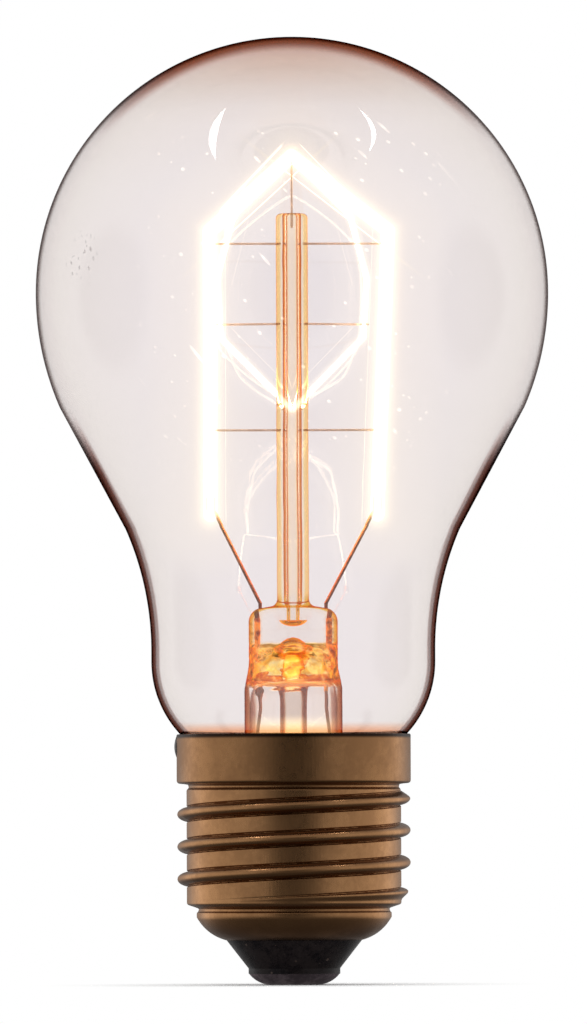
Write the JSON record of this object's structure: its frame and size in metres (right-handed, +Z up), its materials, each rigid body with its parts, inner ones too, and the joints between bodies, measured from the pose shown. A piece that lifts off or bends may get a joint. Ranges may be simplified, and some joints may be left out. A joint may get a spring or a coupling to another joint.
{
  "type": "filament lamp",
  "caption": "Clear glass incandescent lamp with a hairpin filament on a glass stem and a round-thread brass screw cap.",
  "frame": {"origin": "middle of the centre contact's lowest face, on the lamp's axis", "axes": "+Z up the lamp's axis from the contact to the globe, +X to the right and -Y towards the viewer of the filament's front"},
  "size_m": [0.0576, 0.0576, 0.1065],
  "materials": {
    "bulb_glass": "clear, faintly pink",
    "stem_glass": "clear, amber in the filament's light",
    "filament_wire": "glowing tungsten coil",
    "lead_wire": "nickel wire, heat browned",
    "seal_wire": "copper-clad wire, dark red",
    "outer_lead": "copper wire, dull",
    "support_wire": "molybdenum wire, browned",
    "cap_brass": "aged satin brass",
    "insulator_glass": "black glass, glossy",
    "contact_metal": "tinned, dull",
    "solder": "dull solder",
    "cement": "baked capping cement, matte"
  },
  "bodies": {
    "root": {"glass_bulb": "bulb_glass", "stem_flare": "stem_glass", "stem_press": "stem_glass", "exhaust_tube": "stem_glass", "centre_post": "stem_glass", "filament": "filament_wire", "inner_lead_left": "lead_wire", "inner_lead_right": "lead_wire", "seal_wire_left": "seal_wire", "seal_wire_right": "seal_wire", "outer_lead_shell": "outer_lead", "outer_lead_contact": "outer_lead", "support_top_front": "support_wire", "support_top_back": "support_wire", "support_upper_left": "support_wire", "support_upper_right": "support_wire", "support_middle_left": "support_wire", "support_middle_right": "support_wire", "support_lower_left": "support_wire", "support_lower_right": "support_wire", "support_back": "support_wire", "screw_shell": "cap_brass", "cap_insulator": "insulator_glass", "centre_contact": "contact_metal", "contact_solder": "solder", "rim_solder": "solder", "cap_cement": "cement"}
  },
  "joints": []
}
